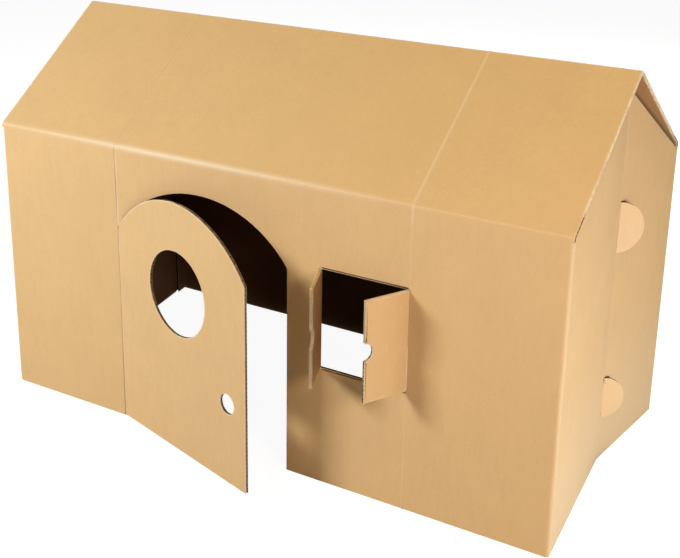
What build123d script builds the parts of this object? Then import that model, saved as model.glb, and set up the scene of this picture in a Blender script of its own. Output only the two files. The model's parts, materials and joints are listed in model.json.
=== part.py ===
from build123d import *
import math
import os

os.makedirs("parts", exist_ok=True)

# A child's playhouse folded from one die-cut sheet of double-wall corrugated board.
# Lengths are in millimetres and angles in degrees.
# While it is built, the front left corner of its plan is the zero point,
# x runs along the front wall, y runs back to the rear wall and z is up.

# Board, folds and creases
board_thickness = 6.5
fold_radius = 7.0
crease_width = 5.0
crease_depth = 0.9

# Overall form of the house
house_length = 1200.0
house_depth = 597.0
eave_height = 581.5
ridge_height = 786.0
ridge_from_front = 298.0
corner_notch = 8.0

# End walls, each pushed in along one soft upright crease
end_crease_from_front = 350.0
end_push_in = 31.0
end_crease_radius = 60.0
gable_gap = 1.0

# Glue flaps down both sides of the rear wall, inside the end walls
glue_flap_width = 40.0
glue_bed = 0.2

# Packing creases across the front wall, both roof slopes and the rear wall
valley_crease_from_left = 292.3
raised_crease_from_left = 924.3

# Half-round tabs cut in the end walls and bent out at the crease
upper_tab_height = 478.0
upper_tab_radius = 49.0
lower_tab_height = 132.0
lower_tab_radius = 42.0
tab_bend = 43.0
tab_slit = 1.5
tear_width = 8.0
tear_height = 15.0

# Knife cuts and hinge lines round the door and the shutters
knife_gap = 1.0
hinge_gap = 0.3

# Arched door, hinged on the valley crease
door_width = 388.0
door_shoulder_height = 414.0
door_arch_rise = 102.5
door_floor_gap = 2.0
door_angle = 17.0
porthole_from_hinge = 188.0
porthole_height = 335.0
porthole_radius = 85.0
hand_hole_from_hinge = 335.0
hand_hole_height = 166.0
hand_hole_radius = 20.0

# Window with two shutters, the right one hinged on the raised crease
window_width = 178.3
window_height = 193.5
window_sill_height = 236.0
notch_radius = 16.5
left_shutter_angle = 70.0
right_shutter_angle = 62.0

# Values worked out from the sizes above
window_left = raised_crease_from_left - window_width
window_top = window_sill_height + window_height
notch_height = window_sill_height + window_height / 2
wall_top = eave_height - corner_notch
rear_section_run = house_depth - end_crease_from_front
rear_section_angle = math.degrees(math.atan2(end_push_in, rear_section_run))


def profile_points(start_height):
    """Corners of the house's outer cross-section, from the front wall over the roof to the rear wall."""
    return [
        (0, start_height),
        (0, eave_height),
        (ridge_from_front, ridge_height),
        (house_depth, eave_height),
        (house_depth, start_height),
    ]


def folded_strip(points, radii, side):
    """Section through the board along an outer line, with its bends rounded."""
    outer_line = FilletPolyline(*points, radius=radii)
    return make_face(offset(outer_line, amount=board_thickness, side=side))


def front_rectangle(x0, x1, z0, z1):
    """A rectangle seen from the front."""
    return Pos((x0 + x1) / 2, (z0 + z1) / 2) * Rectangle(x1 - x0, z1 - z0)


def through_board(face, spare=0.0):
    """A slab with a shape seen from the front, as thick as the board plus a spare length each way."""
    return extrude(Plane.XZ.offset(spare) * face, amount=-(board_thickness + 2 * spare))


def plan_prism(face, height):
    """A plan shape raised from the floor."""
    return extrude(face, amount=height)


def wall_wrap():
    """The front wall with both end walls folded back from it, up to the gables."""
    length = house_length
    beyond = 2 * board_thickness
    spread = beyond * end_push_in / rear_section_run
    points = [
        (-spread, house_depth + beyond),
        (end_push_in, end_crease_from_front),
        (0, 0),
        (length, 0),
        (length - end_push_in, end_crease_from_front),
        (length + spread, house_depth + beyond),
    ]
    radii = [end_crease_radius, fold_radius, fold_radius, end_crease_radius]
    wrap = plan_prism(folded_strip(points, radii, Side.LEFT), ridge_height)
    low_part = Pos(length / 2, house_depth / 2, wall_top / 2) * Box(2 * length, house_depth, wall_top)
    return wrap & (low_part + under_roof())


def under_roof():
    """All the room under the roof's inner side, less the gap over the gables."""
    outline = Plane.YZ * make_face(Polyline(*profile_points(0), close=True))
    room = offset(outline, amount=-(board_thickness + gable_gap), kind=Kind.INTERSECTION)
    return Pos(-house_length / 2, 0, 0) * extrude(room, amount=2 * house_length)


def rear_wall():
    """The rear wall with its glue flaps folded forward against the insides of the end walls."""
    angle = math.radians(rear_section_angle)
    inset = (board_thickness - glue_bed) / math.cos(angle)
    flap_back = glue_flap_width * math.sin(angle)
    flap_front = house_depth - glue_flap_width * math.cos(angle)
    points = [
        (house_length - inset - flap_back, flap_front),
        (house_length - inset, house_depth),
        (inset, house_depth),
        (inset + flap_back, flap_front),
    ]
    return plan_prism(folded_strip(points, fold_radius, Side.LEFT), wall_top)


def roof():
    """Both roof slopes in one strip, with the folds at the eaves and the ridge."""
    strip = Plane.YZ * folded_strip(profile_points(wall_top), fold_radius, Side.RIGHT)
    return extrude(strip, amount=house_length)


def crease_section(x):
    """The small diamond that a crease leaves in, or raises from, the board's outer side."""
    half = crease_width / 2
    corners = [(x - half, 0), (x, -crease_depth), (x + half, 0), (x, crease_depth)]
    return make_face(Polyline(*corners, close=True))


def crease_over_house(x):
    """A crease from the floor over the roof to the floor again."""
    line = Plane.YZ.offset(x) * FilletPolyline(*profile_points(0), radius=fold_radius)
    return sweep(crease_section(x), path=line.wire())


def upright_crease(x, z0, z1):
    """A straight crease on the front wall's outer side."""
    return Pos(0, 0, z0) * extrude(crease_section(x), amount=z1 - z0)


def raised_crease():
    """The raised packing crease, which stops at the window."""
    window_zone = through_board(
        front_rectangle(
            window_left,
            raised_crease_from_left + crease_width,
            window_sill_height - knife_gap,
            window_top + knife_gap,
        ),
        board_thickness,
    )
    return crease_over_house(raised_crease_from_left) - window_zone


def half_disc(radius):
    """A half disc with its straight edge upright at zero and its round edge to the right."""
    return Circle(radius) & (Pos(radius, 0) * Rectangle(2 * radius, 2 * radius))


def end_plane(height, turn):
    """A plane on the right end wall's crease, facing out, its x axis running back along the wall."""
    angle = math.radians(rear_section_angle + turn)
    run = Vector(math.sin(angle), math.cos(angle), 0)
    out = Vector(math.cos(angle), -math.sin(angle), 0)
    corner = (house_length - end_push_in, end_crease_from_front, height)
    return Plane(origin=corner, x_dir=run, z_dir=out)


def tab_opening(height, radius):
    """The half-round hole that a bent-out tab leaves behind the crease."""
    hole = end_plane(height, 0) * half_disc(radius + tab_slit)
    return extrude(hole, amount=2 * board_thickness, both=True)


def tab(height, radius):
    """A half-round tab bent out at the crease, with the board's stretched bend at its root."""
    leaf = extrude(end_plane(height, tab_bend) * half_disc(radius), amount=-board_thickness)
    root_height = 2 * (radius - board_thickness)
    bend = [
        (0, 0),
        bend_point(-2 * rear_section_angle),
        bend_point(rear_section_angle + tab_bend / 2),
        bend_point(rear_section_angle + tab_bend),
    ]
    foot = Pos(house_length - end_push_in, end_crease_from_front, height - root_height / 2)
    root = foot * extrude(make_face(Polyline(*bend, close=True)), amount=root_height)
    return leaf + root


def bend_point(turn):
    """A point on the inner side of a bend at the end wall's crease."""
    angle = math.radians(turn)
    return (-board_thickness * math.cos(angle), board_thickness * math.sin(angle))


def tear():
    """A small three-cornered tear in the board at the upper end of the right end wall's lower tab."""
    top = lower_tab_height + lower_tab_radius
    corners = [(0, top), (-tear_width, top - tear_height / 3), (0, top - tear_height)]
    shape = end_plane(0, 0) * make_face(Polyline(*corners, close=True))
    return extrude(shape, amount=2 * board_thickness, both=True)


def mirrored(shape):
    """The same shape at the other end of the house."""
    return mirror(shape, about=Plane.YZ.offset(house_length / 2))


def arch_shape(x0, x1, z0, gap):
    """The door's outline measured from its hinge, with its arch drawn in by a gap."""
    radius = (door_width**2 / 4 + door_arch_rise**2) / (2 * door_arch_rise)
    centre_height = door_shoulder_height + door_arch_rise - radius
    above = front_rectangle(x0, x1, centre_height, centre_height + radius)
    arch = (Pos(door_width / 2, centre_height) * Circle(radius - gap)) & above
    return front_rectangle(x0, x1, z0, centre_height) + arch


def doorway():
    """The arched opening in the front wall."""
    shape = arch_shape(-hinge_gap / 2, door_width, -knife_gap, 0)
    return Pos(valley_crease_from_left, 0, 0) * through_board(shape, board_thickness)


def window():
    """The rectangular opening in the front wall."""
    shape = front_rectangle(
        window_left - hinge_gap / 2,
        raised_crease_from_left + hinge_gap / 2,
        window_sill_height,
        window_top,
    )
    return through_board(shape, board_thickness)


def door_leaf():
    """The arched door, closed, with its hinge line at zero."""
    shape = arch_shape(hinge_gap / 2, door_width - knife_gap, door_floor_gap, knife_gap)
    shape -= Pos(porthole_from_hinge, porthole_height) * Circle(porthole_radius)
    shape -= Pos(hand_hole_from_hinge, hand_hole_height) * Circle(hand_hole_radius)
    return through_board(shape) - upright_crease(0, 0, ridge_height)


def shutter_leaf():
    """A left shutter, closed, with its hinge line at zero and half a hand hole in its free edge."""
    free_edge = (window_width - knife_gap) / 2
    shape = front_rectangle(
        hinge_gap / 2, free_edge, window_sill_height + knife_gap, window_top - knife_gap
    )
    shape -= Pos(free_edge, notch_height) * Circle(notch_radius)
    return through_board(shape)


def swung(leaf, hinge_x, angle):
    """A leaf opened outward about its upright hinge line on the wall's outer side."""
    return Pos(hinge_x, 0, 0) * Rot(0, 0, -angle) * leaf


def house():
    """The whole folded sheet, apart from the three leaves."""
    heights = [(upper_tab_height, upper_tab_radius), (lower_tab_height, lower_tab_radius)]
    shell = wall_wrap() + rear_wall() + roof()
    for height, radius in heights:
        hole = tab_opening(height, radius)
        shell = shell - hole - mirrored(hole)
    shell -= tear()
    for height, radius in heights:
        piece = tab(height, radius)
        shell = shell + piece + mirrored(piece)
    shell -= crease_over_house(valley_crease_from_left)
    shell += raised_crease()
    shell -= doorway()
    shell -= window()
    return shell


left_shutter = shutter_leaf()
right_shutter = mirror(left_shutter, about=Plane.YZ)
nodes = {
    "folded_house": house(),
    "door_leaf": swung(door_leaf(), valley_crease_from_left, door_angle),
    "left_shutter": swung(left_shutter, window_left, left_shutter_angle),
    "right_shutter": swung(right_shutter, raised_crease_from_left, -right_shutter_angle),
}

# The origin of the finished part is the middle of its bounding box, on the floor
boxes = [shape.bounding_box() for shape in nodes.values()]
front = min(box.min.Y for box in boxes)
back = max(box.max.Y for box in boxes)
to_origin = Pos(-house_length / 2, -(front + back) / 2, 0)
print("moved by", to_origin.position)

for name, shape in nodes.items():
    export_step(to_origin * shape, f"parts/{name}.step")
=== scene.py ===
# %% [markdown]
# A cardboard playhouse
#
# The object is a child's playhouse folded from one sheet of double-wall corrugated board. The
# construction comes in as a fixed frame: the folded house, the arched door and two shutters, at
# their real size in metres. This lesson gives them the look of kraft board: open flutes along the
# knife cuts, edges that the die has crushed, folds that have gone pale, and the paper's own
# fibres.

import json
import math

import bmesh
import bpy
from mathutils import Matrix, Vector, noise
from mathutils.bvhtree import BVHTree


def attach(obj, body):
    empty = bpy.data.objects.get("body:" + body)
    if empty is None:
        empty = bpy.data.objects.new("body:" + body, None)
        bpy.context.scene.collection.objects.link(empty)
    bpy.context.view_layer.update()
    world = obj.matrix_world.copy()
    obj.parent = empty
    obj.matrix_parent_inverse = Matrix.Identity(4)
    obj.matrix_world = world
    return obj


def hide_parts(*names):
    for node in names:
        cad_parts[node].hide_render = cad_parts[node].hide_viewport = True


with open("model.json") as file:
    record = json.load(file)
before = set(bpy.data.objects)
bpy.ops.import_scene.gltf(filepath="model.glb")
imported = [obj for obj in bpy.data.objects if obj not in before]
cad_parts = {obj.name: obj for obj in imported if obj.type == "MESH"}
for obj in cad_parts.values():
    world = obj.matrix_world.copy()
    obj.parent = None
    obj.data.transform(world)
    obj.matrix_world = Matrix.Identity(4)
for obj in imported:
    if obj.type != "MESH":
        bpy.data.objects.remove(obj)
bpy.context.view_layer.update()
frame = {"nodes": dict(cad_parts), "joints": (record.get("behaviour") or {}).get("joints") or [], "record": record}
nodes = frame["nodes"]
hinges = {joint["child"]: Vector(joint["pos_m"]) for joint in frame["joints"]}
print("nodes", sorted(nodes))

# %% [markdown]
# Where things are
#
# Folds and creases are lines on the object, and both the edges and the finish need them. They come
# from the frame wherever it knows them: the door hangs on one packing crease and the right shutter
# on the other, and both hinges lie on the front wall's outer side. The others are sizes of the
# construction, written here in millimetres.

# %% Lines of the house
MM = 0.001
front_y = hinges["door"].y
valley_x = hinges["door"].x
raised_x = hinges["shutter_right"].x
board = 6.5 * MM
half_length = 600 * MM
eave_z = 581.5 * MM
ridge_z = 786 * MM
ridge_y = front_y + 298 * MM
rear_y = front_y + 597 * MM
end_crease_x = half_length - 31 * MM
end_crease_y = front_y + 350 * MM
roof_slope = math.atan2(ridge_z - eave_z, ridge_y - front_y)
print("front wall at y", round(front_y, 4), "roof slope", round(math.degrees(roof_slope), 1))

# %% [markdown]
# Camera
#
# The picture was taken from the right and a little above, with a lens of medium length, and then
# cropped, so its optical centre isn't the middle of the frame. A lens shift does the same.

# %% Camera
PHOTO_WIDTH = 680
PHOTO_HEIGHT = 558
FOCAL_PIXELS = 1231.6
CENTRE_ACROSS = 274.0
CENTRE_DOWN = 170.5
SENSOR_WIDTH = 36
NEAREST_SEEN = 50 * MM
CAMERA_AZIMUTH = math.radians(32.067)
CAMERA_ELEVATION = math.radians(18.414)
CAMERA_FROM_FRONT_LEFT_CORNER = Vector((1745.7, -1744.3, 1280.2)) * MM

camera_data = bpy.data.cameras.new("photo_camera")
camera_data.sensor_fit = "HORIZONTAL"
camera_data.sensor_width = SENSOR_WIDTH
camera_data.lens = SENSOR_WIDTH * FOCAL_PIXELS / PHOTO_WIDTH
camera_data.shift_x = (PHOTO_WIDTH / 2 - CENTRE_ACROSS) / PHOTO_WIDTH
camera_data.shift_y = (CENTRE_DOWN - PHOTO_HEIGHT / 2) / PHOTO_WIDTH
camera_data.clip_start = NEAREST_SEEN
camera = bpy.data.objects.new("photo_camera", camera_data)
camera.location = Vector((-half_length, front_y, 0)) + CAMERA_FROM_FRONT_LEFT_CORNER
camera.rotation_euler = (math.pi / 2 - CAMERA_ELEVATION, 0, CAMERA_AZIMUTH)
bpy.context.scene.collection.objects.link(camera)
bpy.context.scene.camera = camera
print("lens", round(camera_data.lens, 1), "mm")

# %% [markdown]
# Node trees in short lines
#
# Small helpers keep the trees below readable. They add a node with its settings, join two sockets,
# give a group its named sockets, do a step of arithmetic, and mix colours.

# %% Helpers that add and join nodes
def add(tree, kind, **values):
    """A new node. Names of its properties are set on it, and any other name is an input socket."""
    node = tree.nodes.new(kind)
    for name, value in values.items():
        if hasattr(node, name):
            setattr(node, name, value)
        else:
            node.inputs[name.replace("_", " ")].default_value = value
    return node


def join(tree, source, target):
    """A link from an output socket to an input socket."""
    tree.links.new(source, target)


def feed(tree, node, place, value):
    """Gives an input of a node its value: a link for a socket, and a setting for a plain value."""
    if isinstance(value, bpy.types.NodeSocket):
        join(tree, value, node.inputs[place])
    elif value is not None:
        node.inputs[place].default_value = value


def report(what, tree):
    """Prints how many nodes a tree has so far."""
    print(what, "has", len(tree.nodes), "nodes")


def sockets(tree, inputs, outputs):
    """Named sockets for a group. Each input is a name with its socket type and default value."""
    for name, (kind, value) in inputs.items():
        socket = tree.interface.new_socket(name=name, in_out="INPUT", socket_type=kind)
        if value is not None:
            socket.default_value = value
    for name, kind in outputs.items():
        tree.interface.new_socket(name=name, in_out="OUTPUT", socket_type=kind)


# %% Helpers for numbers and colours
MIX_FACTOR, MIX_FIRST_COLOUR, MIX_SECOND_COLOUR, MIXED_COLOUR = 0, 6, 7, 2


def math_node(tree, operation, first, second=None):
    """One step of arithmetic on sockets or plain numbers, which returns the result's socket."""
    node = add(tree, "ShaderNodeMath", operation=operation)
    feed(tree, node, 0, first)
    feed(tree, node, 1, second)
    return node.outputs[0]


def times(tree, first, second):
    """Two values multiplied."""
    return math_node(tree, "MULTIPLY", first, second)


def plus(tree, first, second):
    """Two values added."""
    return math_node(tree, "ADD", first, second)


def mix_colour(tree, factor, first, second, blend="MIX"):
    """Mixes two colours, each given as a socket or as a constant."""
    node = add(tree, "ShaderNodeMix", data_type="RGBA", blend_type=blend)
    feed(tree, node, MIX_FACTOR, factor)
    feed(tree, node, MIX_FIRST_COLOUR, first)
    feed(tree, node, MIX_SECOND_COLOUR, second)
    return node.outputs[MIXED_COLOUR]


# %% [markdown]
# Floor, room and light
#
# The house stands on a plain white floor, in front of white. The floor looks white to the camera
# and still takes the house's shadow: its own shading is only part of what the camera sees, and the
# rest is plain white. Rays that a shiny surface mirrors, or that pass through glass, see the same
# white. The floor inside the house is left out of that, because hardly any light reaches it, and
# for the light that it returns it is painted nearly black there: painted shade.

# %% Rays that see the white background
def sees_background(tree):
    """One for camera, glossy and transmission rays, and zero for the rest."""
    rays = add(tree, "ShaderNodeLightPath")
    seen, mirrored = rays.outputs["Is Camera Ray"], rays.outputs["Is Glossy Ray"]
    shown = math_node(tree, "MAXIMUM", seen, mirrored)
    return math_node(tree, "MAXIMUM", shown, rays.outputs["Is Transmission Ray"])


def show(tree, seen, lit, output):
    """Gives an output the shader that is seen, and for all other light the one that is lit."""
    choice = add(tree, "ShaderNodeMixShader")
    join(tree, sees_background(tree), choice.inputs[0])
    join(tree, lit.outputs[0], choice.inputs[1])
    join(tree, seen.outputs[0], choice.inputs[2])
    join(tree, choice.outputs[0], output.inputs["Surface"])


# %% Floor
HALF_FLOOR = 20.0
CORNER_SIGNS = ((-1, -1), (1, -1), (1, 1), (-1, 1))
floor_corners = [(HALF_FLOOR * across, HALF_FLOOR * deep, 0) for across, deep in CORNER_SIGNS]
floor_mesh = bpy.data.meshes.new("floor")
floor_mesh.from_pydata(floor_corners, [], [(0, 1, 2, 3)])
floor = bpy.data.objects.new("floor", floor_mesh)
bpy.context.scene.collection.objects.link(floor)
print("floor of", 2 * HALF_FLOOR, "m")

# %% Paint of the floor
PAINT = (0.55, 0.54, 0.52, 1)
# Painted shade: under the house the floor returns almost no light.
PAINTED_SHADE_UNDER_HOUSE = (0.03, 0.03, 0.03, 1)
PAINT_SEEN = (0.20, 0.20, 0.20, 1)
WHITE = (1, 1, 1, 1)
FLOOR_GLOW = 0.94
WALL_MARGIN = 20 * MM


def within(tree, value, middle, reach):
    """One where a value is within reach of a middle, and zero elsewhere."""
    inside = math_node(tree, "COMPARE", value, middle)
    inside.node.inputs[2].default_value = reach
    return inside


floor_paint = bpy.data.materials.new("white_floor")
floor_paint.use_nodes = True
floor_mesh.materials.append(floor_paint)
tree = floor_paint.node_tree
tree.nodes.clear()
spot = add(tree, "ShaderNodeSeparateXYZ")
join(tree, add(tree, "ShaderNodeTexCoord").outputs["Object"], spot.inputs[0])
half_depth = (rear_y - front_y) / 2
beside = within(tree, spot.outputs[0], 0.0, half_length - WALL_MARGIN)
between = within(tree, spot.outputs[1], front_y + half_depth, half_depth - WALL_MARGIN)
under_house = times(tree, beside, between)
paint = add(tree, "ShaderNodeBsdfDiffuse")
join(tree, mix_colour(tree, under_house, PAINT, PAINTED_SHADE_UNDER_HOUSE), paint.inputs["Color"])
# Painted shade: mirrored rays see no white glow on the floor under the house.
mirrored_ray = add(tree, "ShaderNodeLightPath").outputs["Is Glossy Ray"]
dark = times(tree, under_house, mirrored_ray)
glow = add(tree, "ShaderNodeEmission", Color=WHITE)
glow_strength = times(tree, math_node(tree, "SUBTRACT", 1.0, dark), FLOOR_GLOW)
join(tree, glow_strength, glow.inputs["Strength"])
seen = add(tree, "ShaderNodeAddShader")
join(tree, add(tree, "ShaderNodeBsdfDiffuse", Color=PAINT_SEEN).outputs[0], seen.inputs[0])
join(tree, glow.outputs[0], seen.inputs[1])
show(tree, seen, paint, add(tree, "ShaderNodeOutputMaterial"))
report("floor paint", tree)

# %% World
ROOM_STRENGTH = 0.01
ROOM_COLOUR = (1, 0.985, 0.96, 1)
world = bpy.data.worlds.new("white_room")
bpy.context.scene.world = world
world.use_nodes = True
tree = world.node_tree
tree.nodes.clear()
room_lit = add(tree, "ShaderNodeBackground", Color=ROOM_COLOUR, Strength=ROOM_STRENGTH)
room_seen = add(tree, "ShaderNodeBackground", Color=WHITE, Strength=1.0)
show(tree, room_seen, room_lit, add(tree, "ShaderNodeOutputWorld"))
bpy.context.scene.view_settings.view_transform = "Standard"
report("room", tree)

# %% [markdown]
# Lamps
#
# A studio lights a big plain box with a few soft lamps. The strong one stands at the left and is a
# little cool. A warmer one at the right lights the end wall, with a small cool one near the floor
# for the wall's lower part and a yellow one high up for the roof. The last one stands behind the
# house and lights the rear wall, for the views from there.

# %% Lamps
HOUSE_MIDDLE = Vector((0, 0.05, 0.35))
# Name, azimuth from the front towards the right, elevation, distance, size, watts and colour
LAMPS = [
    ("left_softbox", -40, 24, 3.2, 0.8, 89, (0.86, 0.92, 1.0)),
    ("right_softbox", 50, 22, 2.4, 0.6, 19, (1.0, 0.83, 0.79)),
    ("foot_light", 80, -7, 1.5, 0.25, 6.3, (0.75, 0.85, 1.0)),
    ("high_right_light", 70, 65, 3.0, 1.0, 16, (1.0, 0.83, 0.2)),
    ("rear_softbox", 180, 35, 3.4, 1.4, 60, (1.0, 0.98, 0.95)),
]
for name, azimuth, elevation, distance, size, power, colour in LAMPS:
    turn = math.radians(azimuth)
    lift = math.radians(elevation)
    away = Vector(
        (math.sin(turn) * math.cos(lift), -math.cos(turn) * math.cos(lift), math.sin(lift))
    )
    data = bpy.data.lights.new(name, "AREA")
    data.shape = "SQUARE"
    data.size = size
    data.energy = power
    data.color = colour
    lamp = bpy.data.objects.new(name, data)
    lamp.location = HOUSE_MIDDLE + away * distance
    lamp.rotation_euler = (-away).to_track_quat("-Z", "Y").to_euler()
    bpy.context.scene.collection.objects.link(lamp)
    print(name, "at", [round(c, 2) for c in lamp.location])

# %% [markdown]
# Board that has been cut
#
# A knife leaves more than a flat face at the board's edge. The die crushes the last few
# millimetres, so the edge is thinner than the board, and between the two outer papers the flutes
# lie open. The frame's solids have plain cut faces. So each part gets a copy whose edges are
# pinched and then hollowed out, and the copy replaces the solid. Everything else stays exactly
# where it is.

# %% [markdown]
# Finding the cut edges
#
# A solid doesn't say which of its faces the knife made. A ray tells them apart: sent into the
# board from a papered face, it soon comes out at the other paper, and from a cut face it runs on
# inside the sheet. The narrow faces at a hinge are left out, because the paper isn't cut there.

# %% Tell cut faces from papered ones
SAME_PLACE = 0.02 * MM
THROUGH_BOARD = 14.5 * MM
HINGE_REACH = 7.6 * MM
SMALLEST_CUT = 12 * MM * MM


def near_a_hinge(face):
    """True for the narrow faces that meet at a hinge, where the paper isn't cut."""
    for hinge in hinges.values():
        if all((v.co - hinge).xy.length < HINGE_REACH for v in face.verts):
            return True
    return False


def cut_faces(bm):
    """The faces that a knife made, and the papered ones. Those have the other side near."""
    solid = BVHTree.FromBMesh(bm)
    cut = set()
    papers = set()
    for face in bm.faces:
        start = face.calc_center_median() - face.normal * SAME_PLACE
        hit = solid.ray_cast(start, -face.normal, THROUGH_BOARD)
        if hit[0] is not None:
            papers.add(face)
        elif not near_a_hinge(face):
            cut.add(face)
    return without_crumbs(cut), papers


# %% Follow faces to their neighbours
def spread_over(start, allowed):
    """The faces that can be reached from the first ones, edge by edge, over allowed neighbours."""
    reached = set(start)
    growing = list(reached)
    while growing:
        face = growing.pop()
        for neighbour in {f for e in face.edges for f in e.link_faces} - reached:
            if allowed(face, neighbour):
                reached.add(neighbour)
                growing.append(neighbour)
    return reached


def without_crumbs(faces):
    """Drops the patches that are too small to be a cut edge."""
    left = set(faces)
    kept = set()
    while left:
        patch = spread_over([left.pop()], lambda face, neighbour: neighbour in faces)
        left -= patch
        if sum(f.calc_area() for f in patch) > SMALLEST_CUT:
            kept |= patch
    return kept


def border(bm, faces):
    """The edges where a set of faces ends, in the mesh's own order, which is the same each run."""
    return [e for e in bm.edges if sum(f in faces for f in e.link_faces) == 1]


# %% Merge what is flat and divide it again, so that few long thin triangles are left
FLAT = math.radians(0.4)
PAPERED, CUT, NEITHER = 0, 1, 2


def merge_flat(bm, cut, papers):
    """Divides each flat patch anew, without mixing cut faces with papered ones."""
    for face in bm.faces:
        face.material_index = CUT if face in cut else PAPERED if face in papers else NEITHER
    bmesh.ops.dissolve_limit(
        bm, angle_limit=FLAT, verts=bm.verts, edges=bm.edges, delimit={"MATERIAL"}
    )
    bmesh.ops.triangulate(bm, faces=bm.faces, ngon_method="BEAUTY")
    cut = {f for f in bm.faces if f.material_index == CUT}
    return cut, {f for f in bm.faces if f.material_index == PAPERED}


# %% Split long border edges, so that the crushed edge can waver
CRUSH_STEP = 14 * MM


def split_long(edges):
    """Cuts each long edge into steps. Its faces stay flat and only gain corners."""
    for edge in edges:
        steps = round(edge.calc_length() / CRUSH_STEP)
        start = edge.verts[0]
        for left in range(steps, 1, -1):
            start = bmesh.utils.edge_split(edge, start, 1 / left)[1]


# %% [markdown]
# Ways into the board
#
# To pinch and hollow an edge, each corner on it has to know three ways: across the board towards
# its middle, into the sheet behind the knife cut, and into the face that gets a rim. They come
# from the faces round the corner, with a mitre where faces meet. Where two sheets meet at an
# angle, no single way leads into the board, and the corner stays where it is.

# %% Directions at a cut edge
LONGEST_MITRE = 1.6
SAME_SHEET = 0.88
LEAST_LENGTH = 0.1


def mitre(normals):
    """The shift that moves each of two adjoining faces back by one unit."""
    middle = -sum(normals, Vector()) / len(normals)
    shift = middle / max(middle.length_squared, LEAST_LENGTH)
    return shift * min(1, LONGEST_MITRE / max(shift.length, LEAST_LENGTH))


def meet_at_an_angle(normals):
    """True where two sheets meet in a corner, so that no single direction leads into the board."""
    return any(a.dot(b) < SAME_SHEET for a in normals for b in normals)


def rim_vectors(cut, papers, edges):
    """For each border vertex: into the thickness, into the sheet, and into the cut face."""
    beside = {}
    for edge in edges:
        for face in edge.link_faces:
            kind = "cut" if face in cut else "paper" if face in papers else "end"
            for v in edge.verts:
                beside.setdefault(v, {}).setdefault(kind, []).append(face.normal)
    across, inward, skin = {}, {}, {}
    for v, kinds in beside.items():
        if meet_at_an_angle(kinds.get("paper", [])):
            across[v], inward[v], skin[v] = Vector(), Vector(), Vector()
            continue
        others = kinds.get("paper", []) + kinds.get("end", [])
        across[v] = mitre(kinds.get("paper", others))
        way = across[v].normalized()
        down = mitre(kinds["cut"])
        inward[v] = down - down.dot(way) * way
        skin[v] = mitre(others)
    return across, inward, skin


# %% [markdown]
# Edges of the roof and the gables
#
# The roof's sloping edges are pressed shut and pale, apart from their lowest part. The tops of the
# gables end a few millimetres under the roof, and a dark line shows there. The frame leaves only
# one millimetre, so the copy's gable tops move down a little before anything else is done to the
# edge.

# %% The roof's sloping edges, pressed shut apart from their lowest part
SLOT_DEPTH = 3.2 * MM
CLOSED_SLOT_DEPTH = 0.3 * MM
OPEN_RAKE_SHARE = 0.12


def at_full_length(place):
    """True at the two ends of the house, where the roof's sloping edges are."""
    return abs(place.x) > half_length - 1 * MM


def pressed_shut(place):
    """True on a roof's sloping edge, where the flutes don't show and the paper is pale."""
    climb = (place.z - eave_z) / (ridge_z - eave_z)
    return at_full_length(place) and climb > OPEN_RAKE_SHARE


def slot_depth(place):
    """How deep the flutes lie open at a place on a cut edge."""
    return CLOSED_SLOT_DEPTH if pressed_shut(place) else SLOT_DEPTH


# %% The gable tops
GABLE_DROP = 5 * MM
TOP_EDGE_FROM = board + 0.5 * MM
TOP_EDGE_TO = board + 1.6 * MM


def on_a_gable_top(place):
    """True at the sloping top edge of an end wall, which lies just under the roof's inner side."""
    over_front = (place.y - front_y) * math.tan(roof_slope)
    over_rear = (rear_y - place.y) * (ridge_z - eave_z) / (rear_y - ridge_y)
    below_roof = (eave_z + min(over_front, over_rear) - place.z) * math.cos(roof_slope)
    return TOP_EDGE_FROM < below_roof < TOP_EDGE_TO


def lower_gable_tops(bm, cut, papers):
    """Moves the corners of the gables' top edges down into the sheet."""
    inward = rim_vectors(cut, papers, border(bm, cut))[1]
    for v, shift in inward.items():
        if on_a_gable_top(v.co):
            v.co += shift * GABLE_DROP


# %% [markdown]
# Pinching and hollowing
#
# The whole sheet is inset by the width that the die crushes, so that only a narrow band bends. The
# cut edge then moves towards the board's middle, a little more here and less there. Two more
# insets leave the thickness of the papers standing as a rim, and push the rest in as a slot.

# %% Pinch and hollow out the edges of one part
CRUSH_WIDTH = 3.5 * MM
CRUSH_DEPTH = 0.55 * MM
CRUSH_UNEVENNESS = 0.22 * MM
CRUSH_WAVER = 90
PAPER = 0.45 * MM
SHUT_WEAR = 2.8


def inset_by(bm, faces, shift, corner):
    """Insets faces. Each new vertex moves by the shift of the border vertex that it came from."""
    in_order = [f for f in bm.faces if f in faces]
    inset = bmesh.ops.inset_region(bm, faces=in_order, thickness=0, use_boundary=True)
    ring = {v for f in inset["faces"] for v in f.verts}
    for v in {v for f in faces for v in f.verts}:
        if v in ring:
            v.co += shift[v[corner]]
    return inset["faces"]


def open_edges(bm, cut, papers):
    """Crushes the board towards its middle along its cut edges, and leaves a slot in them."""
    worn = bm.verts.layers.float.new("edge_wear")
    corner = bm.verts.layers.int.new("corner")
    for number, v in enumerate(bm.verts):
        v[corner] = number
    across, inward, skin = rim_vectors(cut, papers, border(bm, cut))
    pinch = {v[corner]: shift for v, shift in across.items()}
    narrow = {v[corner]: shift * CRUSH_WIDTH for v, shift in inward.items()}
    rim = {v[corner]: shift * PAPER for v, shift in skin.items()}
    slot = {v[corner]: shift * slot_depth(v.co) for v, shift in inward.items()}
    inset_by(bm, {f for f in bm.faces if f not in cut}, narrow, corner)
    for v in {v for f in cut for v in f.verts}:
        if v[corner] in pinch:
            unevenness = CRUSH_UNEVENNESS * noise.noise(v.co * CRUSH_WAVER)
            v.co += pinch[v[corner]] * (CRUSH_DEPTH + unevenness)
            v[worn] = SHUT_WEAR if pressed_shut(v.co) else 1
    inset_by(bm, cut, rim, corner)
    return inset_by(bm, cut, slot, corner)
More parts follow.
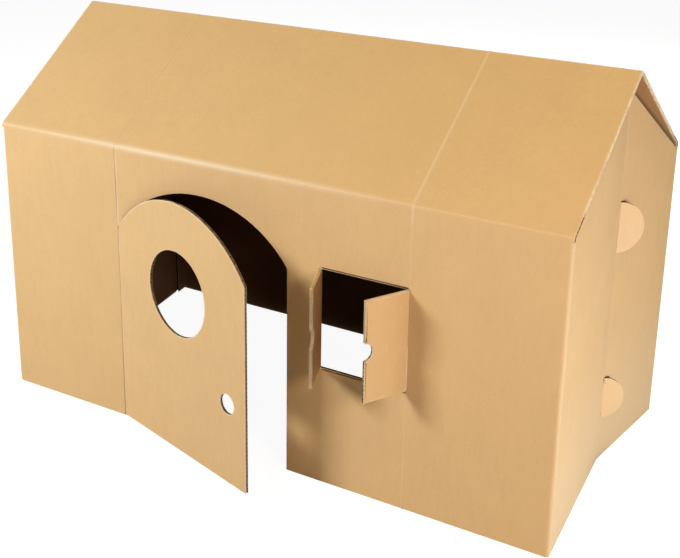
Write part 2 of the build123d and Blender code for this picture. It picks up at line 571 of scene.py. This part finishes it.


# %% [markdown]
# What the finish has to know
#
# Some looks belong to places that no coordinate tells apart. The paper is painted darker on the
# inner side, as painted shade, and paler on the bent-out tabs, as painted light, so each face
# carries that as an attribute. In the slots, paper shows on the roof's edges and where the flutes
# are crushed, and elsewhere they are painted nearly black, as painted shade.

# %% Which side and which place a face is on
HOUSE_INSIDE = Vector((0, 0.05, 0.3))
TAB_TURN_FROM, TAB_TURN_TO = 0.5, 0.75
TAB_FACES_FRONT = -0.6
TABS_FROM_FRONT = 200 * MM
CRUSHED_ABOVE = 333 * MM
# The third material is painted shade for the depth of the open flutes.
LINER, FLUTE_PAPER, SLOT_PAINTED_SHADE = 0, 1, 2


def outside(node, face):
    """True for a papered face on the outer side of the house, of the door or of a shutter."""
    if node == "folded_house":
        return face.normal.dot(face.calc_center_median() - HOUSE_INSIDE) > 0
    return face.normal.y < 0


def on_a_tab(face):
    """True for the outer side of a half-round tab, which no other upright face is parallel to."""
    turned = TAB_TURN_FROM < abs(face.normal.x) < TAB_TURN_TO and face.normal.y < TAB_FACES_FRONT
    return turned and face.calc_center_median().y > front_y + TABS_FROM_FRONT


def slot_material(node, place):
    """The material in a slot: paper on the roof and where flutes are crushed, else painted shade."""
    if pressed_shut(place):
        return LINER
    crushed = node == "left_shutter" or node == "right_shutter" and place.z > CRUSHED_ABOVE
    on_roof = place.z > eave_z and at_full_length(place)
    return FLUTE_PAPER if crushed or on_roof else SLOT_PAINTED_SHADE


# %% [markdown]
# Lines for the flutes
#
# The flutes will be drawn along the cut edges, so the outer side of each edge is kept as a mesh of
# bare lines before the edge is pinched. The lines carry the two ways into the board, and their
# rise across the flutes, from which the waves are counted. Where the knife ran along the flutes,
# the lines are kept apart, because a straight strip needs far fewer points there.

# %% Remember where the flutes will run
LEVEL_SHARE = 0.02


def flute_rise(place):
    """Distance across the flutes, which run along the house: height, or slope on the roof."""
    if place.z > eave_z - 2 * board and at_full_length(place):
        return eave_z + (place.z - eave_z) / math.sin(roof_slope)
    return place.z


def line_mesh(name, edges, across, inward):
    """Edges as a mesh of bare lines that carries both ways into the board and the rise."""
    verts = list(dict.fromkeys(v for e in edges for v in e.verts))
    number = {v: i for i, v in enumerate(verts)}
    mesh = bpy.data.meshes.new(name)
    mesh.from_pydata([v.co for v in verts], [[number[v] for v in e.verts] for e in edges], [])
    for way, vectors in (("across", across), ("inward", inward)):
        layer = mesh.attributes.new(way, "FLOAT_VECTOR", "POINT")
        for i, v in enumerate(verts):
            layer.data[i].vector = vectors[v]
    rise = mesh.attributes.new("rise", "FLOAT", "POINT")
    for i, v in enumerate(verts):
        rise.data[i].value = flute_rise(v.co)
    return mesh


def on_the_outside(node, edge, papers):
    """True for an edge that ends a papered face of the outer side."""
    return any(face in papers and outside(node, face) for face in edge.link_faces)


def edge_lines(bm, node, cut, papers):
    """Two meshes of lines along the outer side of the cut edges: lengthwise ones, and the rest."""
    lines = {"along": [], "across": []}
    edges = [edge for edge in border(bm, cut) if on_the_outside(node, edge, papers)]
    across, inward = rim_vectors(cut, papers, edges)[:2]
    for edge in edges:
        if any(pressed_shut(v.co) or not across[v].length for v in edge.verts):
            continue
        rises = [flute_rise(v.co) for v in edge.verts]
        lengthwise = abs(rises[0] - rises[1]) < LEVEL_SHARE * edge.calc_length()
        lines["along" if lengthwise else "across"].append(edge)
    return {
        kind: line_mesh(f"{node}_{kind}_lines", chosen, across, inward)
        for kind, chosen in lines.items()
    }


# %% Bends are shaded round, and panels stay flat
WIDEST_BEND_FACET = 12 * MM
LEVEL = math.cos(math.radians(0.3))


def across_face(face):
    """A triangle's width across its longest side, small on a bend and large on a panel."""
    return 2 * face.calc_area() / max(edge.calc_length() for edge in face.edges)


def panel_faces(bm):
    """The wide faces, and the narrow ones that lie level with them."""
    wide = {face for face in bm.faces if across_face(face) >= WIDEST_BEND_FACET}
    return spread_over(wide, lambda face, other: other.normal.dot(face.normal) > LEVEL)


# %% [markdown]
# The four boards
#
# Everything so far comes together here, once for the house, the door and each shutter. The frame's
# meshes are loose triangles, so the copy is merged first. The faces get their attributes and
# materials last, when all the insets are made.

# %% Make the four boards
SHARP_FROM = math.radians(40)
PART_NAMES = {
    "folded_house": "house_board",
    "door_leaf": "door_board",
    "left_shutter": "left_shutter_board",
    "right_shutter": "right_shutter_board",
}


def mark_faces(bm, node, inner_side, lit_tab, slots):
    """Writes on each face which side it is on, whether it is on a tab, and its material."""
    for face in bm.faces:
        face.material_index = LINER
        face[inner_side] = not outside(node, face)
        # Painted light: faces of the bent-out tabs are marked to be painted paler, where they catch more light.
        face[lit_tab] = on_a_tab(face)
    for face in slots:
        face.material_index = slot_material(node, face.calc_center_median())


boards = {}
flute_lines = {}
for node, part in PART_NAMES.items():
    bm = bmesh.new()
    bm.from_mesh(nodes[node].data)
    bmesh.ops.remove_doubles(bm, verts=bm.verts, dist=SAME_PLACE)
    inner_side = bm.faces.layers.float.new("inner_side")
    lit_tab = bm.faces.layers.float.new("lit_tab")
    cut, papers = merge_flat(bm, *cut_faces(bm))
    split_long(border(bm, cut))
    lower_gable_tops(bm, cut, papers)
    flute_lines[node] = edge_lines(bm, node, cut, papers)
    slot_walls = open_edges(bm, cut, papers)
    mark_faces(bm, node, inner_side, lit_tab, cut.union(slot_walls))
    bm.normal_update()
    flat = panel_faces(bm)
    mesh = bpy.data.meshes.new(part)
    bm.to_mesh(mesh)
    mesh.set_sharp_from_angle(angle=SHARP_FROM)
    mesh.polygons.foreach_set("use_smooth", [face not in flat for face in bm.faces])
    boards[node] = bpy.data.objects.new(part, mesh)
    bpy.context.scene.collection.objects.link(boards[node])
    closed = all(len(e.link_faces) == 2 for e in bm.edges)
    print(part, len(bm.faces), "faces,", len(flat), "of them flat, closed:", closed)
    bm.free()

# %% [markdown]
# Flutes
#
# Double-wall board has three flat papers and two wavy ones between them, a fine wave near the
# outside and a coarse one near the inside. At a cut edge all five show. Each wavy paper follows a
# rule: its distance into the board is a sine of the height on the wall. So one tree of Geometry
# Nodes draws a line along the edge, waves it, and gives it the section of a paper strip. Where the
# knife ran along the flutes, the same rule gives a straight strip, as on the real board.

# %% Start a tree for one paper strip
strip_tree = bpy.data.node_groups.new("paper_strip", "GeometryNodeTree")
sockets(
    strip_tree,
    {
        "Lines": ("NodeSocketGeometry", None),
        "Depth": ("NodeSocketFloat", 3 * MM),
        "Wave": ("NodeSocketFloat", 1 * MM),
        "Pitch": ("NodeSocketFloat", 8 * MM),
        "Paper": ("NodeSocketFloat", 0.3 * MM),
        "Strip": ("NodeSocketFloat", 4 * MM),
        "Sunk": ("NodeSocketFloat", 0.4 * MM),
        "Crumple": ("NodeSocketFloat", 0.3),
        "Seed": ("NodeSocketFloat", 1.0),
    },
    {"Mesh": "NodeSocketGeometry"},
)
tree = strip_tree
given = add(tree, "NodeGroupInput")
result = add(tree, "NodeGroupOutput")
rise = add(tree, "GeometryNodeInputNamedAttribute", data_type="FLOAT", Name="rise")
across = add(tree, "GeometryNodeInputNamedAttribute", data_type="FLOAT_VECTOR", Name="across")
inward = add(tree, "GeometryNodeInputNamedAttribute", data_type="FLOAT_VECTOR", Name="inward")
print("paper strip inputs:", len(given.outputs) - 1)

# %% How far a point of the strip lies across the board
WAVER_SCALE = 140.0


def scaled(tree, vector, factor):
    """A vector made longer or shorter."""
    node = add(tree, "ShaderNodeVectorMath", operation="SCALE")
    join(tree, vector, node.inputs[0])
    join(tree, factor, node.inputs["Scale"])
    return node.outputs[0]


seeded = add(tree, "ShaderNodeTexNoise", noise_dimensions="4D", Scale=WAVER_SCALE, Detail=1.0)
join(tree, add(tree, "GeometryNodeInputPosition").outputs[0], seeded.inputs["Vector"])
join(tree, given.outputs["Seed"], seeded.inputs["W"])
waver = times(tree, math_node(tree, "SUBTRACT", seeded.outputs[0], 0.5), 2.0)
waver = times(tree, waver, given.outputs["Crumple"])
turn = math_node(tree, "DIVIDE", rise.outputs[0], given.outputs["Pitch"])
turn = plus(tree, turn, given.outputs["Seed"])
turn = times(tree, turn, 2 * math.pi)
height = times(tree, given.outputs["Wave"], plus(tree, waver, 1.0))
height = times(tree, math_node(tree, "SINE", turn), height)
height = plus(tree, height, given.outputs["Depth"])
sideways = scaled(tree, across.outputs[0], height)
report("paper strip tree", tree)

# %% How deep it lies in the slot, and the strip itself
CRUMPLE_DEPTH = 0.6 * MM
middle = times(tree, given.outputs["Strip"], 0.5)
middle = plus(tree, middle, given.outputs["Sunk"])
middle = plus(tree, middle, times(tree, waver, CRUMPLE_DEPTH))
shift = add(tree, "ShaderNodeVectorMath", operation="ADD")
join(tree, sideways, shift.inputs[0])
join(tree, scaled(tree, inward.outputs[0], middle), shift.inputs[1])
moved = add(tree, "GeometryNodeSetPosition")
join(tree, given.outputs["Lines"], moved.inputs["Geometry"])
join(tree, shift.outputs[0], moved.inputs["Offset"])
facing = add(tree, "GeometryNodeSetCurveNormal", mode="FREE")
join(tree, moved.outputs[0], facing.inputs["Curve"])
join(tree, inward.outputs[0], facing.inputs["Normal"])
section = add(tree, "GeometryNodeCurvePrimitiveQuadrilateral")
join(tree, given.outputs["Strip"], section.inputs["Width"])
join(tree, given.outputs["Paper"], section.inputs["Height"])
swept = add(tree, "GeometryNodeCurveToMesh", Fill_Caps=True)
join(tree, facing.outputs[0], swept.inputs["Curve"])
join(tree, section.outputs[0], swept.inputs["Profile Curve"])
join(tree, swept.outputs[0], result.inputs["Mesh"])
report("paper strip tree", tree)

# %% A tree for the whole filling of a cut edge
FINE = {"Depth": 2.0 * MM, "Wave": 0.75 * MM, "Pitch": 6.6 * MM, "Seed": 0.1}
MIDDLE = {"Depth": 3.05 * MM, "Wave": 0.0, "Pitch": 8.0 * MM, "Seed": 0.2}
COARSE = {"Depth": 4.35 * MM, "Wave": 1.0 * MM, "Pitch": 8.6 * MM, "Seed": 0.4}

filling_tree = bpy.data.node_groups.new("flute_filling", "GeometryNodeTree")
sockets(
    filling_tree,
    {
        "Lines": ("NodeSocketGeometry", None),
        "Step": ("NodeSocketFloat", 1 * MM),
        "Crumple": ("NodeSocketFloat", 0.3),
        "Sunk": ("NodeSocketFloat", 0.4 * MM),
        "Material": ("NodeSocketMaterial", None),
    },
    {"Mesh": "NodeSocketGeometry"},
)
tree = filling_tree
given = add(tree, "NodeGroupInput")
result = add(tree, "NodeGroupOutput")
curve = add(tree, "GeometryNodeMeshToCurve")
stepped = add(tree, "GeometryNodeResampleCurve", mode="LENGTH")
papers = add(tree, "GeometryNodeJoinGeometry")
real = add(tree, "GeometryNodeRealizeInstances")
finish = add(tree, "GeometryNodeSetMaterial")
join(tree, given.outputs["Lines"], curve.inputs["Mesh"])
join(tree, curve.outputs[0], stepped.inputs["Curve"])
join(tree, given.outputs["Step"], stepped.inputs["Length"])
for values in (FINE, MIDDLE, COARSE):
    paper = add(tree, "GeometryNodeGroup", node_tree=strip_tree)
    for name, value in values.items():
        paper.inputs[name].default_value = value
    join(tree, stepped.outputs[0], paper.inputs["Lines"])
    join(tree, given.outputs["Crumple"], paper.inputs["Crumple"])
    join(tree, given.outputs["Sunk"], paper.inputs["Sunk"])
    join(tree, paper.outputs[0], papers.inputs[0])
join(tree, papers.outputs[0], real.inputs["Geometry"])
join(tree, real.outputs[0], finish.inputs["Geometry"])
join(tree, given.outputs["Material"], finish.inputs["Material"])
join(tree, finish.outputs[0], result.inputs["Mesh"])
report("filling tree", tree)

# %% [markdown]
# Kraft paper
#
# The outer paper is brown kraft. From near it shows cloudy patches, fine fibres that lie along the
# paper web, across the flutes, and a few dark and pale specks. The flutes below press through as
# very faint lines. All of that is one shader group, which the flute paper uses too, with other
# values.

# %% Start a shader group for paper
paper_tree = bpy.data.node_groups.new("paper_pattern", "ShaderNodeTree")
sockets(
    paper_tree,
    {
        "Position": ("NodeSocketVector", None),
        "Rise": ("NodeSocketFloat", 0.0),
        "Cloud Strength": ("NodeSocketFloat", 0.03),
        "Fibre Strength": ("NodeSocketFloat", 0.025),
        "Line Strength": ("NodeSocketFloat", 0.004),
        "Speck Share": ("NodeSocketFloat", 0.1),
        "Flute Pitch": ("NodeSocketFloat", FINE["Pitch"]),
    },
    {
        "Shade": "NodeSocketFloat",
        "Dark Specks": "NodeSocketFloat",
        "Pale Specks": "NodeSocketFloat",
        "Height": "NodeSocketFloat",
    },
)
tree = paper_tree
given = add(tree, "NodeGroupInput")
result = add(tree, "NodeGroupOutput")
stretch = add(tree, "ShaderNodeMapping", Scale=(1, 1, 0.22))
join(tree, given.outputs["Position"], stretch.inputs["Vector"])
clouds = add(tree, "ShaderNodeTexNoise", Scale=9.0, Detail=5.0, Roughness=0.6)
join(tree, given.outputs["Position"], clouds.inputs["Vector"])
fibres = add(tree, "ShaderNodeTexNoise", Scale=420.0, Detail=3.0, Roughness=0.65)
join(tree, stretch.outputs[0], fibres.inputs["Vector"])
patches = add(tree, "ShaderNodeTexNoise", Scale=70.0, Detail=3.0, Roughness=0.7)
join(tree, stretch.outputs[0], patches.inputs["Vector"])
report("paper group", tree)

# %% The paper's shade
NOISE_GAIN = 4.0


def signed_part(tree, source, strength):
    """A noise value turned into a signed change of the given strength."""
    signed = times(tree, math_node(tree, "SUBTRACT", source, 0.5), NOISE_GAIN)
    return times(tree, signed, strength)


turn = math_node(tree, "DIVIDE", given.outputs["Rise"], given.outputs["Flute Pitch"])
lines = math_node(tree, "SINE", times(tree, turn, 2 * math.pi))
cloud_part = signed_part(tree, clouds.outputs[0], given.outputs["Cloud Strength"])
patch_part = signed_part(tree, patches.outputs[0], given.outputs["Fibre Strength"])
fibre_part = signed_part(tree, fibres.outputs[0], given.outputs["Fibre Strength"])
line_part = times(tree, lines, given.outputs["Line Strength"])
broad = plus(tree, cloud_part, patch_part)
narrow = plus(tree, fibre_part, line_part)
shade = plus(tree, plus(tree, broad, narrow), 1.0)
join(tree, shade, result.inputs["Shade"])
report("paper group", tree)

# %% The paper's specks and relief
SPECK_SCALE = 240.0
SPECK_SIZE = 0.22
CLOUD_HEIGHT = 1.2
FIBRE_HEIGHT = 0.06
LINE_HEIGHT = 0.008
specks = add(tree, "ShaderNodeTexVoronoi", Scale=SPECK_SCALE)
join(tree, given.outputs["Position"], specks.inputs["Vector"])
speck_parts = add(tree, "ShaderNodeSeparateColor")
join(tree, specks.outputs["Color"], speck_parts.inputs[0])
in_a_speck = math_node(tree, "LESS_THAN", specks.outputs["Distance"], SPECK_SIZE)
for channel, name in enumerate(("Dark Specks", "Pale Specks")):
    chosen = math_node(
        tree, "LESS_THAN", speck_parts.outputs[channel], given.outputs["Speck Share"]
    )
    join(tree, times(tree, in_a_speck, chosen), result.inputs[name])
height = times(tree, clouds.outputs[0], CLOUD_HEIGHT)
height = plus(tree, height, times(tree, fibres.outputs[0], FIBRE_HEIGHT))
height = plus(tree, height, times(tree, lines, LINE_HEIGHT))
join(tree, height, result.inputs["Height"])
report("paper group", tree)

# %% [markdown]
# Folds that have gone pale, with painted highlight
#
# Where board is folded, its outer paper stretches and goes pale, and the round of the fold catches
# light, so the paleness painted here is partly stretched paper and partly painted highlight. The
# folds are straight lines, so a second group measures how far a point is from a line: the axes that
# count are one, the others zero. Each fold then has its own width and strength, as strong as the
# photograph shows it.

# %% A shader group for what is near a line
fold_tree = bpy.data.node_groups.new("near_a_line", "ShaderNodeTree")
sockets(
    fold_tree,
    {
        "Position": ("NodeSocketVector", None),
        "Place": ("NodeSocketVector", None),
        "Axes": ("NodeSocketVector", None),
        "Width": ("NodeSocketFloat", 8 * MM),
    },
    {"Mask": "NodeSocketFloat"},
)
tree = fold_tree
given = add(tree, "NodeGroupInput")
result = add(tree, "NodeGroupOutput")
apart = add(tree, "ShaderNodeVectorMath", operation="SUBTRACT")
join(tree, given.outputs["Position"], apart.inputs[0])
join(tree, given.outputs["Place"], apart.inputs[1])
counted = add(tree, "ShaderNodeVectorMath", operation="MULTIPLY")
join(tree, apart.outputs[0], counted.inputs[0])
join(tree, given.outputs["Axes"], counted.inputs[1])
distance = add(tree, "ShaderNodeVectorMath", operation="LENGTH")
join(tree, counted.outputs[0], distance.inputs[0])
fade = add(tree, "ShaderNodeMapRange", interpolation_type="SMOOTHERSTEP", To_Min=1, To_Max=0)
join(tree, distance.outputs["Value"], fade.inputs["Value"])
join(tree, given.outputs["Width"], fade.inputs["From Max"])
join(tree, fade.outputs["Result"], result.inputs["Mask"])
report("fold group", tree)


# %% Masks in a material
def near(tree, position, place, axes, width):
    """The mask round a line. Axes tells which coordinates count."""
    group = add(tree, "ShaderNodeGroup", node_tree=fold_tree, Place=place, Axes=axes, Width=width)
    join(tree, position, group.inputs["Position"])
    return group.outputs["Mask"]


def level(tree, value, low, high, first, last):
    """Carries a value from one range to another, smoothly and within limits."""
    node = add(tree, "ShaderNodeMapRange", interpolation_type="SMOOTHSTEP")
    join(tree, value, node.inputs["Value"])
    for name, number in zip(("From Min", "From Max", "To Min", "To Max"), (low, high, first, last)):
        node.inputs[name].default_value = number
    return node.outputs["Result"]


# %% Material for the outer papers
FACES_UP = 0.3
kraft = bpy.data.materials.new("kraft_liner")
kraft.use_nodes = True
tree = kraft.node_tree
shader = tree.nodes["Principled BSDF"]
coordinates = add(tree, "ShaderNodeTexCoord").outputs["Object"]
parts = add(tree, "ShaderNodeSeparateXYZ")
join(tree, coordinates, parts.inputs[0])
x, y, z = parts.outputs
normal_parts = add(tree, "ShaderNodeSeparateXYZ")
join(tree, add(tree, "ShaderNodeNewGeometry").outputs["Normal"], normal_parts.inputs[0])
steepness = math_node(tree, "ABSOLUTE", normal_parts.outputs[2])
on_roof = math_node(tree, "GREATER_THAN", steepness, FACES_UP)
above_eave = math_node(tree, "MAXIMUM", math_node(tree, "SUBTRACT", z, eave_z), 0.0)
slope_gain = times(tree, above_eave, 1 / math.sin(roof_slope) - 1)
rise = plus(tree, z, times(tree, slope_gain, on_roof))
paper = add(tree, "ShaderNodeGroup", node_tree=paper_tree)
join(tree, coordinates, paper.inputs["Position"])
join(tree, rise, paper.inputs["Rise"])
print("liner pattern placed")

# %% Lines that have gone pale, partly painted highlight
LENGTHWISE, UPRIGHT, ACROSS = (0, 1, 1), (1, 1, 0), (1, 0, 0)
side = math_node(tree, "ABSOLUTE", x)
mirrored = add(tree, "ShaderNodeCombineXYZ")
for place, value in enumerate((side, y, z)):
    join(tree, value, mirrored.inputs[place])
mirrored = mirrored.outputs[0]
front_eave = near(tree, coordinates, (0, front_y, eave_z), LENGTHWISE, 13 * MM)
rear_eave = near(tree, coordinates, (0, rear_y, eave_z), LENGTHWISE, 13 * MM)
ridge = near(tree, coordinates, (0, ridge_y, ridge_z), LENGTHWISE, 8 * MM)
front_corner = near(tree, mirrored, (half_length, front_y + 5 * MM, 0), UPRIGHT, 9 * MM)
valley_line = near(tree, coordinates, (valley_x, 0, 0), ACROSS, 4 * MM)
raised_line = near(tree, coordinates, (raised_x, 0, 0), ACROSS, 5 * MM)
end_line = near(tree, mirrored, (end_crease_x, end_crease_y, 0), UPRIGHT, 5 * MM)
report("kraft liner", tree)

# %% Where along its length each line is pale, and where its highlight is painted
# Painted light: the bent-out tabs are painted paler, where they catch more light.
lit_tab = add(tree, "ShaderNodeAttribute", attribute_name="lit_tab").outputs["Fac"]
inner_side = add(tree, "ShaderNodeAttribute", attribute_name="inner_side").outputs["Fac"]
outer_side = math_node(tree, "SUBTRACT", 1.0, inner_side)
from_the_left = level(tree, x, low=-0.6, high=-0.2, first=0.2, last=0.85)
to_the_right = level(tree, x, low=-0.2, high=0.45, first=0.7, last=0.0)
eave_share = times(tree, from_the_left, to_the_right)
eave_pale = times(tree, front_eave, eave_share)
# Painted highlight: the raised crease is painted pale on the roof, where its ridge catches light.
on_the_slope = level(tree, z, low=eave_z - 0.05, high=eave_z + 0.01, first=0.08, last=0.32)
raised_pale = times(tree, raised_line, on_the_slope)
# Painted light: the valley crease is painted paler on the wall, to lift the shade in its groove.
on_the_wall = level(tree, z, low=eave_z - 0.04, high=eave_z - 0.005, first=1.0, last=0.0)
valley_pale = times(tree, valley_line, on_the_wall)
valley_pale = times(tree, valley_pale, outer_side)
report("kraft liner", tree)

# %% The low ends of the end walls, painted paler as painted light from the floor, and all the pale places together
FACES_THE_END = 0.9
at_an_end = math_node(tree, "GREATER_THAN", side, end_crease_x - board)
at_an_end = times(tree, at_an_end, outer_side)
endways = math_node(tree, "ABSOLUTE", normal_parts.outputs[0])
facing_out = math_node(tree, "GREATER_THAN", endways, FACES_THE_END)
# Painted light: the end walls are painted paler near the floor, for the light the white floor throws up.
near_the_floor = level(tree, z, low=0.0, high=0.35, first=1.0, last=0.0)
end_floor_light = times(tree, near_the_floor, at_an_end)
end_floor_light = times(tree, end_floor_light, facing_out)
pale = eave_pale
for mask, strength in (
    (rear_eave, 0.4),
    (ridge, 0.22),
    (front_corner, 0.25),
    (valley_pale, 0.45),
    (raised_pale, 1.0),
    (end_line, 0.15),
    (lit_tab, 0.24),
    (end_floor_light, 0.3),
):
    pale = math_node(tree, "MAXIMUM", pale, times(tree, mask, strength))
report("kraft liner", tree)

# %% Pale, worn paper at the cut edges
WORN_PALENESS = 0.55
worn = add(tree, "ShaderNodeAttribute", attribute_name="edge_wear").outputs["Fac"]
wear_noise = add(tree, "ShaderNodeTexNoise", Scale=95.0, Detail=4.0)
join(tree, coordinates, wear_noise.inputs["Vector"])
patchy = level(tree, wear_noise.outputs[0], low=0.35, high=0.65, first=0.35, last=1.0)
edge_pale = times(tree, worn, patchy)
edge_pale = times(tree, edge_pale, WORN_PALENESS)
pale = math_node(tree, "MAXIMUM", pale, edge_pale)
report("kraft liner", tree)

# %% [markdown]
# Colour and relief
#
# The liner and the flute papers get their shade, specks and relief from the same group. Two
# helpers place them, and each paper brings its own colours. The board's inner side is painted a
# darker, browner kraft, as painted shade for the inside of the house, the roof's underside and the
# shutters' inner sides.

# %% Shade and relief of a paper
PAPER_SHINE = 0.25


def shaded(tree, paper, colour):
    """A colour with the paper group's shade on it."""
    grey = add(tree, "ShaderNodeCombineColor")
    for channel in range(3):
        join(tree, paper.outputs["Shade"], grey.inputs[channel])
    return mix_colour(tree, 1.0, colour, grey.outputs[0], "MULTIPLY")


def give_relief(tree, paper, shader, strength, distance):
    """Lets the paper group's height tilt the surface, and gives the paper its low shine."""
    relief = add(tree, "ShaderNodeBump", Strength=strength, Distance=distance)
    join(tree, paper.outputs["Height"], relief.inputs["Height"])
    join(tree, relief.outputs[0], shader.inputs["Normal"])
    shader.inputs["Specular IOR Level"].default_value = PAPER_SHINE


# %% Colour, roughness and relief of the outer papers
KRAFT = (0.700, 0.445, 0.195, 1)
# Painted shade: the inner side's darker kraft stands in for the shade inside the house.
SHADED_INNER_KRAFT = (0.38, 0.205, 0.085, 1)
PALE = (0.86, 0.70, 0.47, 1)
DARK_SPECK = (0.50, 0.29, 0.12, 1)
PALE_SPECK = (0.80, 0.60, 0.36, 1)
SPECK_STRENGTH = 0.5
ROUGHEST = 1.14
SHADE_SMOOTHS = -0.5
PALE_SMOOTHS = 0.06
colour = shaded(tree, paper, mix_colour(tree, inner_side, KRAFT, SHADED_INNER_KRAFT))
for name, speck_colour in (("Dark Specks", DARK_SPECK), ("Pale Specks", PALE_SPECK)):
    share = times(tree, paper.outputs[name], SPECK_STRENGTH)
    colour = mix_colour(tree, share, colour, speck_colour)
join(tree, mix_colour(tree, pale, colour, PALE), shader.inputs["Base Color"])
rough = times(tree, paper.outputs["Shade"], SHADE_SMOOTHS)
rough = plus(tree, rough, ROUGHEST)
rough = math_node(tree, "SUBTRACT", rough, times(tree, pale, PALE_SMOOTHS))
join(tree, rough, shader.inputs["Roughness"])
give_relief(tree, paper, shader, strength=0.6, distance=1 * MM)
report("kraft liner", tree)

# %% Materials for the flute paper, pale as a rule and darker where it lies in shade
PALE_FLUTE = (0.76, 0.62, 0.44, 1)
SHADED_FLUTE = (0.40, 0.28, 0.16, 1)
FLUTE_SPECK = (0.84, 0.72, 0.54, 1)
FLUTE_SPECK_STRENGTH = 0.7
FLUTE_ROUGHNESS = 0.85
FLUTE_PATTERN = {
    "Cloud Strength": 0.05,
    "Fibre Strength": 0.06,
    "Line Strength": 0.0,
    "Speck Share": 0.2,
}


def flute_material(name, flute_colour):
    """Rough, fibrous paper of one colour, with pale specks."""
    material = bpy.data.materials.new(name)
    material.use_nodes = True
    tree = material.node_tree
    shader = tree.nodes["Principled BSDF"]
    shader.inputs["Roughness"].default_value = FLUTE_ROUGHNESS
    paper = add(tree, "ShaderNodeGroup", node_tree=paper_tree)
    for socket, value in FLUTE_PATTERN.items():
        paper.inputs[socket].default_value = value
    join(tree, add(tree, "ShaderNodeTexCoord").outputs["Object"], paper.inputs["Position"])
    colour = shaded(tree, paper, flute_colour)
    speck = times(tree, paper.outputs["Pale Specks"], FLUTE_SPECK_STRENGTH)
    join(tree, mix_colour(tree, speck, colour, FLUTE_SPECK), shader.inputs["Base Color"])
    give_relief(tree, paper, shader, strength=0.7, distance=0.5 * MM)
    report(name, tree)
    return material


flute_paper = flute_material("flute_paper", PALE_FLUTE)
shaded_flutes = flute_material("shaded_flute_paper", SHADED_FLUTE)

# %% Material for the depth of the flutes, which no light reaches: painted shade, nearly black
DEPTH_FINISH = {
    "Base Color": (0.05, 0.03, 0.016, 1),
    "Roughness": 0.95,
    "Specular IOR Level": 0.05,
}
painted_flute_shade = bpy.data.materials.new("painted_flute_shade")
painted_flute_shade.use_nodes = True
for name, value in DEPTH_FINISH.items():
    painted_flute_shade.node_tree.nodes["Principled BSDF"].inputs[name].default_value = value
print("flute depth is nearly black")

# %% [markdown]
# Smooth folds and flat panels
#
# A fold has only a few facets and should look round, while the panels beside it stay flat.
# Weighted normals do both: each corner follows the large faces that meet in it. The modifier's
# result is kept as a plain mesh, so that nothing is left to evaluate later.

# %% Weighted normals
STRONGEST_WEIGHT = 100
for board_piece in boards.values():
    for material in (kraft, flute_paper, painted_flute_shade):
        board_piece.data.materials.append(material)
    soft = board_piece.modifiers.new("weighted", "WEIGHTED_NORMAL")
    soft.keep_sharp = True
    soft.weight = STRONGEST_WEIGHT
    graph = bpy.context.evaluated_depsgraph_get()
    smooth = bpy.data.meshes.new_from_object(board_piece.evaluated_get(graph), depsgraph=graph)
    board_piece.modifiers.remove(soft)
    board_piece.data = smooth
    print(board_piece.name, "has its own normals:", smooth.has_custom_normals)

# %% [markdown]
# Filling the cut edges
#
# Each part's lines go through the filling tree twice: in short steps where the waves show, and in
# long ones where the strips are straight. The two results are joined to one piece, which moves
# with its part. The door's flutes lie in shade, and the left shutter's are crushed nearly level
# with its edge.

# %% Send lines through the filling tree
CRUMPLE = 0.35


def socket_id(tree, name):
    """The identifier by which a modifier knows a group's input."""
    inputs = [i for i in tree.interface.items_tree if i.in_out == "INPUT"]
    return next(i.identifier for i in inputs if i.name == name)


def filled(mesh, step, sunk, material):
    """The flutes along a mesh of lines, as a plain mesh."""
    holder = bpy.data.objects.new("flute_holder", mesh)
    bpy.context.scene.collection.objects.link(holder)
    modifier = holder.modifiers.new("flutes", "NODES")
    modifier.node_group = filling_tree
    given = {"Step": step, "Crumple": CRUMPLE, "Sunk": sunk, "Material": material}
    for name, value in given.items():
        modifier[socket_id(filling_tree, name)] = value
    graph = bpy.context.evaluated_depsgraph_get()
    made = bpy.data.meshes.new_from_object(holder.evaluated_get(graph), depsgraph=graph)
    bpy.data.objects.remove(holder)
    return made


def joined(meshes, name, material):
    """One object out of several plain meshes."""
    bm = bmesh.new()
    for mesh in meshes:
        bm.from_mesh(mesh)
    mesh = bpy.data.meshes.new(name)
    bm.to_mesh(mesh)
    bm.free()
    mesh.materials.append(material)
    piece = bpy.data.objects.new(name, mesh)
    bpy.context.scene.collection.objects.link(piece)
    return piece


def body_of(node):
    """The body that a node of the frame belongs to."""
    bodies = frame["record"]["behaviour"]["bodies"]
    return next(body for body, names in bodies.items() if node in names)


# %% Fill the cut edges
WAVY_STEP = 0.9 * MM
STRAIGHT_STEP = 60 * MM
WAVY_SUNK = 1.0 * MM
WAVY_SUNK_WHERE_CRUSHED = {"left_shutter": 0.15 * MM}
STRAIGHT_SUNK = 1.8 * MM
for node, lines in flute_lines.items():
    material = shaded_flutes if node == "door_leaf" else flute_paper
    sunk = WAVY_SUNK_WHERE_CRUSHED.get(node, WAVY_SUNK)
    wavy = filled(lines["across"], WAVY_STEP, sunk, material)
    straight = filled(lines["along"], STRAIGHT_STEP, STRAIGHT_SUNK, material)
    name = PART_NAMES[node].replace("board", "flutes")
    piece = joined([wavy, straight], name, material)
    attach(piece, body_of(node))
    print(piece.name, len(piece.data.polygons), "faces")

# %% [markdown]
# In place of the solids
#
# Each board lies exactly where its solid is, and moves with the same body. The solid is hidden,
# and stays behind it for the motion.

# %% The boards take the place of the solids
for node, piece in boards.items():
    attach(piece, body_of(node))
    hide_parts(node)
    print(piece.name, "stands for", node)
